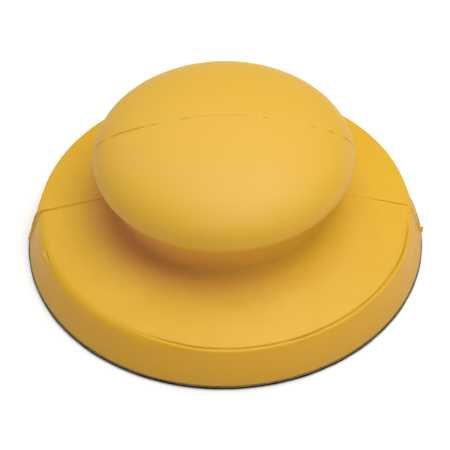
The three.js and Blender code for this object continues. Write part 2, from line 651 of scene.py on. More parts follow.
@dataclass(frozen=True)
class MouldOutline:
    """The section that the moulding is turned from, in millimetres.

    A drafted side wall, a shallow cone, a filleted neck, and a knob of two half ellipses.
    Its foot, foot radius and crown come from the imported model.
    """

    foot: float
    foot_radius: float
    crown_top: float
    rim_radius: float = 70.0
    rim_height: float = 16.0
    cone_rise: float = 0.268
    neck_radius: float = 40.0
    neck_lean: float = 0.2
    neck_blend: float = 3.2
    underside_blend: float = 8.0
    knob_radius: float = 48.0
    knob_widest: float = 44.0
    knob_underside: float = 11.8
    underside_end: float = math.radians(22)
    rim_below: float = 5.0
    rim_inside: float = 6.0

    def corner(self, inset: float) -> tuple[float, float]:
        """Where the wall and the cone would meet, set inwards by a distance.

        Args:
            inset: How far inside the surface, in millimetres.

        Returns:
            Radius and height of the corner.
        """
        height = self.cone(self.wall(self.rim_height, inset), inset)
        drop = (height - self.rim_height) / (1 + self.cone_rise * self.wall_lean)
        at = self.rim_height + drop
        return (self.wall(at, inset), at)

    @property
    def neck_foot(self) -> float:
        """Height of the cone where the neck meets it."""
        return self.cone(self.neck_radius, 0)

    @property
    def wall_lean(self) -> float:
        """How fast the wall's radius changes with height."""
        return (self.rim_radius - self.foot_radius) / (self.rim_height - self.foot)

    def wall(self, height: float, inset: float) -> float:
        """Radius of the side wall at a height.

        Args:
            height: The height.
            inset: How far inside the surface.

        Returns:
            The radius.
        """
        shift = inset * math.hypot(1, self.wall_lean)
        return self.foot_radius - shift + self.wall_lean * (height - self.foot)

    def cone(self, radius: float, inset: float) -> float:
        """Height of the cone at a radius.

        Args:
            radius: The radius.
            inset: How far inside the surface.

        Returns:
            The height.
        """
        shift = inset * math.hypot(1, self.cone_rise)
        return self.rim_height - shift + self.cone_rise * (self.rim_radius - radius)

    def rim(self, inset: float, rounding: float, shares: np.ndarray) -> np.ndarray:
        """The stretch of the section that turns over the rim.

        Args:
            inset: How far inside the surface, in millimetres.
            rounding: How far from the corner the rounding starts.
            shares: Where to put points, as shares of the stretch's length.

        Returns:
            The points, one row each.
        """
        r, z = self.corner(inset)
        lean = Vector((self.wall_lean, 1)).normalized()
        fall = Vector((-1, self.cone_rise)).normalized()
        edge = Vector((r, z))
        low, high = edge - lean * self.rim_below, edge + fall * self.rim_inside
        start, end = edge - lean * rounding, edge + fall * rounding
        path = np.concatenate(
            [straight(low, start, 40), bend(start, edge, end, 60), straight(end, high, 40), [high]]
        )
        return along(path, shares)

    def section(self, inset: float, rounding: float, counts: "Counts") -> np.ndarray:
        """The whole section, from its foot up to the crown on the axis.

        Args:
            inset: How far inside the surface, in millimetres.
            rounding: How far from the rim's corner the rounding starts.
            counts: How many points each stretch gets.

        Returns:
            Radius and height of each point.
        """
        rim = self.rim(inset, rounding, counts.rim_shares)
        a = self.knob_radius - inset
        under = self.knob_underside - inset
        crown = self.crown_top - self.knob_widest - inset
        end_angle = self.underside_end
        end = (a * math.cos(end_angle), self.knob_widest - under * math.sin(end_angle))
        slope = under / (a * math.tan(end_angle))
        neck_shift = inset * math.hypot(1, self.neck_lean)
        foot = self.neck_radius - neck_shift
        root = self.cone(foot, inset)
        roof_rise = (end[1] + slope * (foot - end[0]) - root) / (1 - slope * self.neck_lean)
        roof = (foot + self.neck_lean * roof_rise, root + roof_rise)
        fillet = (foot + self.neck_blend, self.cone(foot + self.neck_blend, inset))
        stem = (foot + self.neck_lean * self.neck_blend, root + self.neck_blend)
        under_stem = (
            roof[0] - self.neck_lean * self.underside_blend,
            roof[1] - self.underside_blend,
        )
        edge = np.linspace(-end_angle, 0, counts.edge, endpoint=False)
        dome = math.pi / 2 * (1 - np.linspace(1, 0, counts.dome) ** counts.dome_power)
        return np.concatenate(
            [
                straight((self.wall(self.foot, inset), self.foot), rim[0], counts.wall),
                rim[:-1],
                straight(rim[-1], fillet, counts.cone),
                bend(fillet, (foot, root), stem, counts.fillet),
                straight(stem, under_stem, counts.stem),
                bend(under_stem, roof, end, counts.fillet),
                np.stack([a * np.cos(edge), self.knob_widest + under * np.sin(edge)], axis=1),
                np.stack([a * np.cos(dome), self.knob_widest + crown * np.sin(dome)], axis=1),
            ]
        )


@dataclass(frozen=True)
class Counts:
    """How many points each stretch of a section gets."""

    wall: int
    rim_shares: np.ndarray
    cone: int
    fillet: int
    stem: int
    edge: int
    dome: int
    dome_power: float = 1.0


def rim_shares(below: float, inside: float, fine: float, coarse: float) -> np.ndarray:
    """Spaces the points over the rim, close together where the lip and groove are.

    Args:
        below: Length of the stretch below the corner, in millimetres.
        inside: Length of the stretch inside the corner.
        fine: Spacing beside the corner.
        coarse: Spacing at the ends of the stretch.

    Returns:
        Shares of the stretch's length, from 0 to 1.
    """
    fine_from, fine_to, growth = -1.2, 2.2, 0.25
    at = [-below]
    while at[-1] < inside:
        away = max(fine_from - at[-1], at[-1] - fine_to, 0)
        at.append(at[-1] + min(fine + growth * away, coarse))
    steps = np.array(at) + below
    return steps / steps[-1]


# --------------------------------------------------------------------------- marks of moulding


@dataclass(frozen=True)
class Surface:
    """The moulding's surface as a grid, with what its marks are placed by.

    Attributes:
        points: Positions in millimetres, section point by section point and turn by turn.
        turn: The angle about the axis of each column, in degrees, from +X towards +Y.
        past_rim: Distance of each section point past the rim's corner, minus on the wall.
    """

    points: np.ndarray
    turn: np.ndarray
    past_rim: np.ndarray


@dataclass(frozen=True)
class RimLine:
    """The lip and groove that the mould's lid leaves along the rim.

    They belong to the front half of the mould. On one stretch the edge was rubbed down to a
    soft round, and only a short scrap of the lip was left there.
    """

    lip_height: float = 0.14
    lip_at: float = 0.4
    lip_width: float = 0.36
    groove_depth: float = 0.6
    groove_at: float = 1.15
    groove_width: float = 0.33
    shoulder: float = 0.08
    shoulder_width: float = 0.9
    hard_rounding: float = 0.9
    soft_rounding: float = 3.4
    front_middle: float = -90.0
    front_half: float = 82.5
    front_fade: float = 1.5
    soft_from: float = -184.0
    soft_to: float = -109.0
    soft_fade: float = 5.0
    scrap_at: float = -161.3
    scrap_half: float = 2.1
    scrap_past: float = -1.2
    scrap_fade: float = 0.5
    bead_height: float = 0.5
    bead_width: float = 0.5
    bead_at: float = -1.2
    bead_half: float = 1.1
    cut_depth: float = 0.6
    cut_inside: float = 1.0
    cut_slant: float = 0.08
    cut_width: float = 0.3
    slow_mm: float = 9.0
    quick_mm: float = 2.2
    slow_share: float = 0.3
    quick_share: float = 0.12
    sway: float = 0.12
    wander: Lumps = field(default_factory=lambda: Lumps(11))

    def softness(self, turn: np.ndarray) -> np.ndarray:
        """How far the rim is rubbed down.

        Args:
            turn: Angles about the axis, in degrees.

        Returns:
            Shares from 0 to 1, one for each angle.
        """
        middle = (self.soft_from + self.soft_to) / 2
        half = (self.soft_to - self.soft_from) / 2
        return plateau(around(turn, middle), half, self.soft_fade)

    def relief(self, surface: Surface) -> np.ndarray:
        """Height of the lip and groove over the surface.

        Args:
            surface: The moulding's surface.

        Returns:
            Millimetres along the outward normal, one for each point.
        """
        slow = self.wander.at(surface.points, self.slow_mm)
        quick = self.wander.at(surface.points, self.quick_mm)
        past = surface.past_rim[:, None] + self.sway * slow
        front = plateau(around(surface.turn, self.front_middle), self.front_half, self.front_fade)
        sound = (front * (1 - self.softness(surface.turn)))[None, :]
        sound = sound * (1 + self.slow_share * slow + self.quick_share * quick)
        lip = self.lip_height * bump_of(past, self.lip_at, self.lip_width)
        groove = self.groove_depth * bump_of(past, self.groove_at, self.groove_width)
        inside = self.groove_at + self.shoulder_width
        roll = self.shoulder * bump_of(past, inside, self.shoulder_width)
        edge_line = sound * (lip - groove - roll)
        off = around(surface.turn, self.scrap_at)[None, :]
        bead = self.bead_height * bump_of(past, self.scrap_past, self.bead_width)
        bead = bead * bump_of(off, self.bead_at, self.bead_half)
        torn = self.scrap_past + self.cut_inside - self.cut_slant * off
        cut = self.cut_depth * bump_of(past, torn, self.cut_width)
        cut = cut * plateau(off, self.scrap_half, self.scrap_fade)
        return edge_line + bead - cut


class Place(Enum):
    """Which part of the moulding a stretch of the parting line lies on."""

    KNOB = "knob"
    BASE = "base"


@dataclass(frozen=True)
class Stretch:
    """A stretch of the parting line that shows more than the rest.

    Attributes:
        start: Where it starts, in millimetres along X.
        end: Where it ends.
        depth: How deep the crevice is there.
        place: Knob or base.
    """

    start: float
    end: float
    depth: float
    place: Place = Place.KNOB

    def share(self, x: np.ndarray) -> np.ndarray:
        """How far each place along X is in this stretch, from 0 to 1."""
        middle, half = (self.start + self.end) / 2, (self.end - self.start) / 2
        return plateau(x - middle, half, 0.5)


@dataclass(frozen=True)
class PartingLine:
    """The flash where the two halves of the mould met, in the plane through X and Z.

    Over the knob and the base it was trimmed off, which leaves a low ridge with a crevice
    behind it, deep in some stretches and nearly gone in others. Down the side wall it stands
    as a rib, and it ends in a lug at each foot.
    """

    ridge: float = 0.12
    ridge_at: float = -0.32
    ridge_width: float = 0.3
    crevice: float = 0.14
    crevice_at: float = 0.2
    crevice_width: float = 0.29
    sway: float = 0.75
    sway_length: float = 57.0
    slow_mm: float = 11.0
    quick_mm: float = 2.4
    slow_wander: float = 0.12
    quick_wander: float = 0.05
    slow_depth: float = 0.6
    quick_depth: float = 0.25
    ridge_least: float = 0.5
    ridge_by_depth: float = 1.5
    ridge_raggedness: float = 0.4
    fin_half: float = 0.45
    fin_edge: float = 0.13
    fin_top: float = 0.4
    fin_foot: float = 0.7
    fin_wander: float = 0.1
    fin_raggedness: float = 0.18
    lug: float = 2.0
    lug_height: float = 3.2
    stretches: tuple[Stretch, ...] = (
        Stretch(-47.0, -43.5, 0.4),
        Stretch(-41.0, -29.0, 0.6),
        Stretch(-26.0, -24.6, 0.6),
        Stretch(-15.3, -11.8, 0.55),
        Stretch(-9.5, 13.0, 0.3),
        Stretch(14.6, 15.8, 0.6),
        Stretch(32.4, 33.4, 0.9),
        Stretch(38.8, 40.1, 0.85),
        Stretch(43.9, 47.5, 0.5),
        Stretch(-71.5, -63.5, 0.75, Place.BASE),
        Stretch(-64.0, -57.0, 0.42, Place.BASE),
        Stretch(-57.0, -45.0, 0.3, Place.BASE),
        Stretch(45.0, 56.0, 0.2, Place.BASE),
        Stretch(56.0, 61.0, 0.45, Place.BASE),
        Stretch(61.0, 69.0, 0.75, Place.BASE),
    )
    pits: tuple[tuple[float, float, float], ...] = ((66.2, -1.6, 0.45), (69.1, -3.1, 0.5))
    pit_width: float = 0.5
    ragged: Lumps = field(default_factory=lambda: Lumps(23))

    def relief(self, surface: Surface, shape: MouldOutline) -> np.ndarray:
        """Height of the flash over the surface.

        Args:
            surface: The moulding's surface.
            shape: The section it was turned from.

        Returns:
            Millimetres along the outward normal, one for each point.
        """
        x, y, z = (surface.points[..., k] for k in range(3))
        on_knob = z > shape.knob_widest - shape.knob_underside
        on_wall = np.broadcast_to((surface.past_rim < 0)[:, None], z.shape)
        line = surface.points * (1, 0, 1)
        slow, quick = self.ragged.at(line, self.slow_mm), self.ragged.at(line, self.quick_mm)
        sway = self.sway * np.cos(2 * math.pi * x / self.sway_length) * on_knob
        off = y - sway - self.slow_wander * slow - self.quick_wander * quick
        depth = self.crevice * (1 + self.slow_depth * slow)
        for part in self.stretches:
            here = on_knob if part.place is Place.KNOB else ~on_knob
            depth = depth + part.depth * part.share(x) * here
        depth = depth * (1 + self.quick_depth * quick)
        crevice = depth * bump_of(off, self.crevice_at, self.crevice_width)
        proud = self.ridge * (self.ridge_least + self.ridge_by_depth * depth)
        proud = proud * (1 + self.ridge_raggedness * quick)
        ridge = proud * bump_of(off, self.ridge_at, self.ridge_width)
        height = (ridge - crevice) * ~on_wall
        for px, py, deep in self.pits:
            away = np.hypot(x - px, y - py)
            height = height - deep * bump_of(away, 0, self.pit_width) * ~on_wall
        climb = np.clip((z - shape.foot) / (shape.rim_height - shape.foot), 0, 1)
        fin = self.fin_foot + (self.fin_top - self.fin_foot) * climb
        fin = fin * (1 + self.fin_raggedness * quick)
        fin = fin * plateau(y - self.fin_wander * slow, self.fin_half, self.fin_edge)
        return height + (fin + self.lugs(surface, shape)) * on_wall

    def lugs(self, surface: Surface, shape: MouldOutline) -> np.ndarray:
        """The extra height of the lugs at the two feet of the line.

        The right one is a blunt block, and the left one is a lower peak partway up. Their
        numbers are shares of a lug's height, and millimetres off the line.

        Args:
            surface: The moulding's surface.
            shape: The section it was turned from.

        Returns:
            Millimetres along the outward normal, one for each point.
        """
        x, y, z = (surface.points[..., k] for k in range(3))
        up = (z - shape.foot) / self.lug_height
        extra = self.lug - self.fin_foot
        blunt = np.clip(up, 0, 1) * np.clip((1.05 - up) / 0.1, 0, 1)
        peak = np.clip(1 - np.abs(up - 0.45) / 0.32, 0, 1)
        right = 1.3 * extra * blunt * plateau(y + 0.7, 0.5, 0.12)
        left = extra * peak * plateau(y + 1.2, 0.3, 0.15)
        return np.where(x > 0, right, left)


@dataclass(frozen=True)
class FoamShrinkage:
    """Slow hollows where the foam drew in as it cured, and the trimmed, uneven foot."""

    hollow: float = 0.12
    hollow_size: float = 30.0
    dimple: float = 0.02
    dimple_size: float = 6.0
    wall_bow: float = 0.1
    foot_round: float = 0.35
    slow: Lumps = field(default_factory=lambda: Lumps(5))

    def relief(self, surface: Surface, shape: MouldOutline) -> np.ndarray:
        """Depth of the hollows over the surface.

        Args:
            surface: The moulding's surface.
            shape: The section it was turned from.

        Returns:
            Millimetres along the outward normal, one for each point.
        """
        z = surface.points[..., 2]
        wall = np.clip((z - shape.foot) / (shape.rim_height - shape.foot), 0, 1)
        bow = -self.wall_bow * np.sin(math.pi * wall) * (surface.past_rim < 0)[:, None]
        big = self.hollow * self.slow.at(surface.points, self.hollow_size)
        small = self.dimple * self.slow.at(surface.points + 400, self.dimple_size)
        tucked = self.foot_round * np.clip(1 - (z - shape.foot) / self.foot_round, 0, 1) ** 2
        return bow + (big + small) * np.clip(wall * 3, 0, 1) - tucked


@dataclass(frozen=True)
class MouldMismatch:
    """Where the mould's halves were out of true, so that the wall isn't one even cone.

    Behind the left end of the parting line the rim stands out and the foot is drawn in. At
    the front the rim stands out a little. Angles are in degrees and lengths in millimetres.
    """

    rear_rim: float = 1.0
    rear_rim_span: float = 10.0
    rear_foot: float = -1.2
    rear_foot_full: float = 7.0
    rear_foot_end: float = 45.0
    front_rim: float = 1.2
    front_at: float = -58.0
    front_half: float = 44.0
    front_fade: float = 8.0
    fade_inside: float = 9.0

    def foot_shift(self, turn: np.ndarray) -> np.ndarray:
        """How far the foot stands out.

        Args:
            turn: Angles about the axis, in degrees.

        Returns:
            Millimetres, one for each angle.
        """
        behind = np.clip(180 - np.abs(around(turn, 0)), 0, 180)
        rise = np.clip(behind / self.rear_foot_full, 0, 1)
        fall = np.clip((self.rear_foot_end - behind) / self.rear_foot_full, 0, 1)
        return self.rear_foot * rise * fall * (around(turn, 0) > 0)

    def rim_shift(self, turn: np.ndarray) -> np.ndarray:
        """How far the rim stands out.

        Args:
            turn: Angles about the axis, in degrees.

        Returns:
            Millimetres, one for each angle.
        """
        behind = 180 - around(turn, 0)
        rear = np.clip(1 - behind / self.rear_rim_span, 0, 1) * (around(turn, 0) > 0)
        front = plateau(around(turn, self.front_at), self.front_half, self.front_fade)
        return self.rear_rim * rear + self.front_rim * front

    def shift(self, surface: Surface, shape: MouldOutline) -> np.ndarray:
        """How far the wall and rim stand out from the axis beyond the plain outline.

        Args:
            surface: The moulding's surface.
            shape: The section it was turned from.

        Returns:
            Millimetres away from the axis, one for each point.
        """
        z = surface.points[..., 2]
        reach = np.hypot(surface.points[..., 0], surface.points[..., 1])
        climb = np.clip((z - shape.foot) / (shape.rim_height - shape.foot), 0, 1)
        inside = np.clip(1 - (shape.rim_radius - reach) / self.fade_inside, 0, 1)
        rim, foot = self.rim_shift(surface.turn), self.foot_shift(surface.turn)
        return (foot + (rim - foot) * climb) * inside * (z < shape.neck_foot)


# --------------------------------------------------------------------------- the foam body


def turned_columns(seams: tuple[float, ...], spot: float) -> np.ndarray:
    """Angles of the moulding's columns, close together at the parting line.

    Args:
        seams: Angles of the parting line, in degrees.
        spot: The angle of another place that needs closer columns.

    Returns:
        Angles from 0 to 360, without 360.
    """
    seam_step, seam_half, seam_growth = 0.13, 1.45, 0.22
    spot_step, spot_half, spot_growth = 0.3, 3.5, 0.3
    widest_step = 1.25
    at = [0.0]
    while at[-1] < 360:
        to_seam = min(abs(around(at[-1], s)) for s in seams)
        to_spot = abs(around(at[-1], spot))
        close = seam_step + seam_growth * max(to_seam - seam_half, 0)
        near = spot_step + spot_growth * max(to_spot - spot_half, 0)
        at.append(at[-1] + min(close, near, widest_step))
    return np.array(at[:-1]) * 360 / at[-1]


def grid_faces(rows: int, columns: int, first: int = 0) -> list[tuple[int, int, int, int]]:
    """Quads of a grid that closes on itself round the axis, facing outwards.

    Args:
        rows: How many rings of points, from the foot upwards.
        columns: Points in one ring.
        first: Number of the first point.

    Returns:
        The quads.
    """
    faces = []
    for i in range(rows - 1):
        low = first + i * columns
        for j in range(columns):
            k = (j + 1) % columns
            faces.append((low + j, low + k, low + columns + k, low + columns + j))
    return faces


def turn_section(section: np.ndarray, turns: np.ndarray) -> np.ndarray:
    """Turns a section about the axis.

    Args:
        section: Radius and height of each point.
        turns: Angles in degrees.

    Returns:
        Positions, section point by section point and turn by turn.
    """
    return circle(section[:, :1], section[:, 1:], np.radians(turns)[None, :])


def outward(points: np.ndarray, turns: np.ndarray) -> np.ndarray:
    """Outward normals of a turned surface, from its own section in each column.

    Args:
        points: The surface's grid of positions.
        turns: The angle of each column, in degrees.

    Returns:
        Unit vectors, one for each point.
    """
    angle = np.radians(turns)[None, :]
    radius = np.linalg.norm(points[..., :2], axis=-1)
    dr = np.gradient(radius, axis=0)
    dz = np.gradient(points[..., 2], axis=0)
    size = np.maximum(np.hypot(dr, dz), 1e-9)
    return np.stack([dz / size * np.cos(angle), dz / size * np.sin(angle), -dr / size], axis=-1)


def closed_body(name: str, sheet: np.ndarray, start: float, end: float) -> bpy.types.Object:
    """Makes a closed body from rings about the axis.

    Args:
        name: The piece's name.
        sheet: Positions, ring by ring, from the middle underneath to the middle on top.
        start: Height on the axis of the point that closes the first ring.
        end: Height on the axis of the point that closes the last ring.

    Returns:
        The body.
    """
    rows, columns = sheet.shape[:2]
    rings = sheet.reshape(-1, 3)
    faces = grid_faces(rows, columns)
    last, pole = (rows - 1) * columns, len(rings)
    for j in range(columns):
        k = (j + 1) % columns
        faces.append((k, j, pole))
        faces.append((last + j, last + k, pole + 1))
    points = np.concatenate([rings, [[0, 0, start], [0, 0, end]]])
    return mesh_object(name, points, faces)


@dataclass
class FoamMoulding:
    """The one-shot foam moulding: its skin, seen all over, and the core inside it."""

    shape: MouldOutline
    skin: float = 2.0
    clearance: float = 0.3
    rim: RimLine = field(default_factory=RimLine)
    parting: PartingLine = field(default_factory=PartingLine)
    shrinkage: FoamShrinkage = field(default_factory=FoamShrinkage)
    mismatch: MouldMismatch = field(default_factory=MouldMismatch)
    # How deep a groove sinks before its dirt and painted shade are full, in millimetres.
    full_dirt_and_shade: float = 0.6
    inner_rounding: float = 1.2
    core_step: float = 2.5
    far: float = 99.0

    def outer_surface(self) -> Surface:
        """Turns the outer surface, with the rim rubbed down where it is.

        Returns:
            The surface before its marks.
        """
        shape = self.shape
        shares = rim_shares(shape.rim_below, shape.rim_inside, fine=0.17, coarse=0.5)
        counts = Counts(
            wall=20,
            rim_shares=shares,
            cone=34,
            fillet=10,
            stem=5,
            edge=14,
            dome=88,
            dome_power=1.6,
        )
        turns = turned_columns((0.0, 180.0), self.rim.scrap_at)
        hard = turn_section(shape.section(0, self.rim.hard_rounding, counts), turns)
        soft = turn_section(shape.section(0, self.rim.soft_rounding, counts), turns)
        worn = self.rim.softness(turns)[None, :, None]
        past = np.full(len(hard), self.far)
        past[: counts.wall] = -self.far
        length = shape.rim_below + shape.rim_inside
        past[counts.wall : counts.wall + len(shares) - 1] = (shares * length - shape.rim_below)[:-1]
        return Surface(hard + worn * (soft - hard), turns, past)

    def marked(self, surface: Surface) -> tuple[np.ndarray, np.ndarray]:
        """Raises and sinks the surface by all its marks.

        Args:
            surface: The plain outer surface.

        Returns:
            The grid of positions, in millimetres, and how much dirt each point holds.
        """
        marks = self.rim.relief(surface) + self.parting.relief(surface, self.shape)
        relief = marks + self.shrinkage.relief(surface, self.shape)
        moved = surface.points + outward(surface.points, surface.turn) * relief[..., None]
        reach = np.linalg.norm(moved[..., :2], axis=-1, keepdims=True)
        shift = self.mismatch.shift(surface, self.shape)[..., None]
        moved[..., :2] *= 1 + shift / np.maximum(reach, 1)
        moved[..., 2] = np.maximum(moved[..., 2], self.shape.foot)
        # Sunken marks hold dirt and painted groove shade, more the deeper they sink.
        return moved, np.clip(-marks / self.full_dirt_and_shade, 0, 1)

    def build_skin(self) -> bpy.types.Object:
        """Makes the skin: the marked surface outside, a plain one inside, open underneath.

        Returns:
            The piece, with its dirt stored on it.
        """
        surface = self.outer_surface()
        outer, dirt_and_shade = self.marked(surface)
        coarse = Counts(
            wall=2, rim_shares=np.linspace(0, 1, 4), cone=2, fillet=2, stem=1, edge=2, dome=9
        )
        section = self.shape.section(self.skin, self.inner_rounding, coarse)
        inner = turn_section(section, surface.turn)
        columns = len(surface.turn)
        sheets, faces, first = [], [], 0
        for sheet, inside in ((outer, False), (inner, True)):
            rings = sheet[:-1].reshape(-1, 3)
            top = sheet[-1].mean(axis=0)[None, :] * (0, 0, 1)
            quads = grid_faces(len(sheet) - 1, columns, first)
            last = first + (len(sheet) - 2) * columns
            pole = first + len(rings)
            cap = [(last + j, last + (j + 1) % columns, pole) for j in range(columns)]
            faces += [f[::-1] for f in quads + cap] if inside else quads + cap
            sheets += [rings, top]
            first = pole + 1
        inner_first = len(sheets[0]) + 1
        for j in range(columns):
            k = (j + 1) % columns
            faces.append((k, j, inner_first + j, inner_first + k))
        piece = mesh_object("foam_skin", np.concatenate(sheets), faces)
        clean = np.zeros(len(piece.data.vertices))
        clean[: dirt_and_shade[:-1].size] = dirt_and_shade[:-1].ravel()
        store_values(piece, DIRT_AND_SHADE, clean)
        return piece

    def build_core(self) -> bpy.types.Object:
        """Makes the core, a closed body that fills the skin.

        Returns:
            The piece.
        """
        counts = Counts(
            wall=8, rim_shares=np.linspace(0, 1, 12), cone=14, fillet=8, stem=3, edge=8, dome=28
        )
        inset = self.skin + self.clearance
        section = self.shape.section(inset, self.inner_rounding, counts)
        sheet = turn_section(section, np.arange(0, 360, self.core_step))
        return closed_body("cellular_core", sheet[:-1], self.shape.foot, sheet[-1, 0, 2])

    def build(self) -> list[bpy.types.Object]:
        """Makes both pieces, dresses them and ties them to the frame.

        Returns:
            The pieces.
        """
        skin, core = self.build_skin(), self.build_core()
        dress(skin, MouldedSkin().build())
        dress(core, CellularFoam().build())
        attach(skin, ROOT)
        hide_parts("moulded_skin")
        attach(core, ROOT)
        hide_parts("foam_core")
        return [skin, core]


# --------------------------------------------------------------------------- the facing


def ring_disc(name: str, section: Callable[[np.ndarray], list], turns: int) -> bpy.types.Object:
    """Makes a thin closed disc whose edge may differ from angle to angle.

    Args:
        name: The piece's name.
        section: Gives, for an array of angles in radians, rows of radius and height, from
            underneath, over the edge, to on top.
        turns: How many columns.

    Returns:
        The disc.
    """
    angle = np.linspace(0, 2 * math.pi, turns, endpoint=False)
    sheet = np.stack([circle(radius, height, angle) for radius, height in section(angle)])
    return closed_body(name, sheet, sheet[0, 0, 2], sheet[-1, 0, 2])


def cut_in(angle: np.ndarray) -> np.ndarray:
    """How far the tape is trimmed inside its circle, where it follows the moulding's foot."""
    return -MouldMismatch().foot_shift(np.degrees(angle))


@dataclass
class AdhesiveLayer:
    """The glue between the foam and the tape, with a thin smear squeezed out at the edge."""

    radius: float
    bottom: float
    top: float
    squeeze: float = 0.16
    squeeze_mm: float = 7.0
    smear: float = 0.3
    turns: int = 360

    def section(self, angle: np.ndarray) -> list[tuple]:
        """Shapes the layer, squeezed out more here than there.

        Args:
            angle: Angles in radians.

        Returns:
            Radius and height of each row at those angles, from underneath to on top.
        """
        amount = 0.5 + 0.5 * Lumps(31).at(circle(self.radius, 0, angle), self.squeeze_mm)
        edge = self.radius + self.squeeze * amount - cut_in(angle)
        climb = self.top + self.smear * amount
        return [
            (self.radius / 2, self.bottom),
            (self.radius - 1.0, self.bottom),
            (edge - 0.06, self.bottom),
            (edge, self.bottom + 0.08),
            (edge - 0.04, 0.6 * climb + 0.4 * self.top),
            (edge - 0.1, climb),
            (edge - 0.3, self.top),
            (self.radius / 2, self.top),
        ]

    def build(self) -> list[bpy.types.Object]:
        """Makes the layer, dresses it and ties it to the frame.

        Returns:
            The pieces.
        """
        layer = ring_disc("adhesive_layer", self.section, self.turns)
        dress(layer, ContactAdhesive().build())
        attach(layer, ROOT)
        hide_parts("adhesive_film")
        return [layer]


class Weave(Enum):
    """Which way a set of yarns runs."""

    WARP = "warp"
    WEFT = "weft"


class HookLean(Enum):
    """Which way a set of hooks faces along its rows."""

    FORWARD = 1
    BACK = -1


class GeometryTool:
    """A Geometry Nodes tree that is built, run once on an empty mesh and turned into a mesh."""

    def __init__(self, name: str, inputs: dict[str, tuple[str, float]]) -> None:
        """Starts a tree with named inputs.

        Args:
            name: Name of the tree.
            inputs: Input name, to its socket type and default value.
        """
        self.tree = bpy.data.node_groups.new(name, "GeometryNodeTree")
        self.tree.is_modifier = True
        face = self.tree.interface
        face.new_socket("Geometry", in_out="INPUT", socket_type="NodeSocketGeometry")
        face.new_socket("Geometry", in_out="OUTPUT", socket_type="NodeSocketGeometry")
        for label, (kind, value) in inputs.items():
            face.new_socket(label, in_out="INPUT", socket_type=kind).default_value = value
        self.given = add_node(self.tree, "NodeGroupInput").outputs

    def node(self, kind: str, links: dict | None = None, **settings) -> bpy.types.Node:
        """Adds a node to this tree."""
        return add_node(self.tree, kind, links, **settings)

    def first(self, kind: str, links: dict | None = None, **settings) -> bpy.types.NodeSocket:
        """Adds a node to this tree and returns its first output."""
        return self.node(kind, links, **settings).outputs[0]

    def clipped(self, sheet: bpy.types.NodeSocket) -> bpy.types.NodeSocket:
        """Deletes what lies beyond the input named Radius.

        Args:
            sheet: A flat grid about the axis.

        Returns:
            The round sheet.
        """
        place = self.first("GeometryNodeInputPosition")
        reach = self.node("ShaderNodeVectorMath", {0: place}, operation="LENGTH").outputs["Value"]
        links = {0: reach, 1: self.given["Radius"]}
        beyond = self.first("ShaderNodeMath", links, operation="GREATER_THAN")
        return self.first("GeometryNodeDeleteGeometry", {"Geometry": sheet, "Selection": beyond})

    def finish(self, result: bpy.types.NodeSocket, material: bpy.types.Material) -> None:
        """Ends the tree in Realize Instances and Set Material.

        Args:
            result: The finished geometry.
            material: What it is made of.
        """
        real = self.first("GeometryNodeRealizeInstances", {"Geometry": result})
        links = {"Geometry": real, "Material": material}
        self.node("NodeGroupOutput", {"Geometry": self.first("GeometryNodeSetMaterial", links)})

    def run(self, name: str, values: dict[str, float]) -> bpy.types.Object:
        """Runs the tree and keeps what it makes as a plain mesh.

        Args:
            name: The piece's name.
            values: Input name, to the value it takes in this run.

        Returns:
            The piece.
        """
        carrier = bpy.data.objects.new(name + "_maker", bpy.data.meshes.new(name + "_maker"))
        bpy.context.scene.collection.objects.link(carrier)
        modifier = carrier.modifiers.new("maker", "NODES")
        modifier.node_group = self.tree
        for item in self.tree.interface.items_tree:
            if item.in_out == "INPUT" and item.name in values:
                modifier[item.identifier] = values[item.name]
        graph = bpy.context.evaluated_depsgraph_get()
        mesh = bpy.data.meshes.new_from_object(carrier.evaluated_get(graph), depsgraph=graph)
        mesh.name = name
        carrier.modifiers.remove(modifier)
        bpy.data.objects.remove(carrier)
        mesh.shade_smooth()
        piece = bpy.data.objects.new(name, mesh)
        bpy.context.scene.collection.objects.link(piece)
        return piece


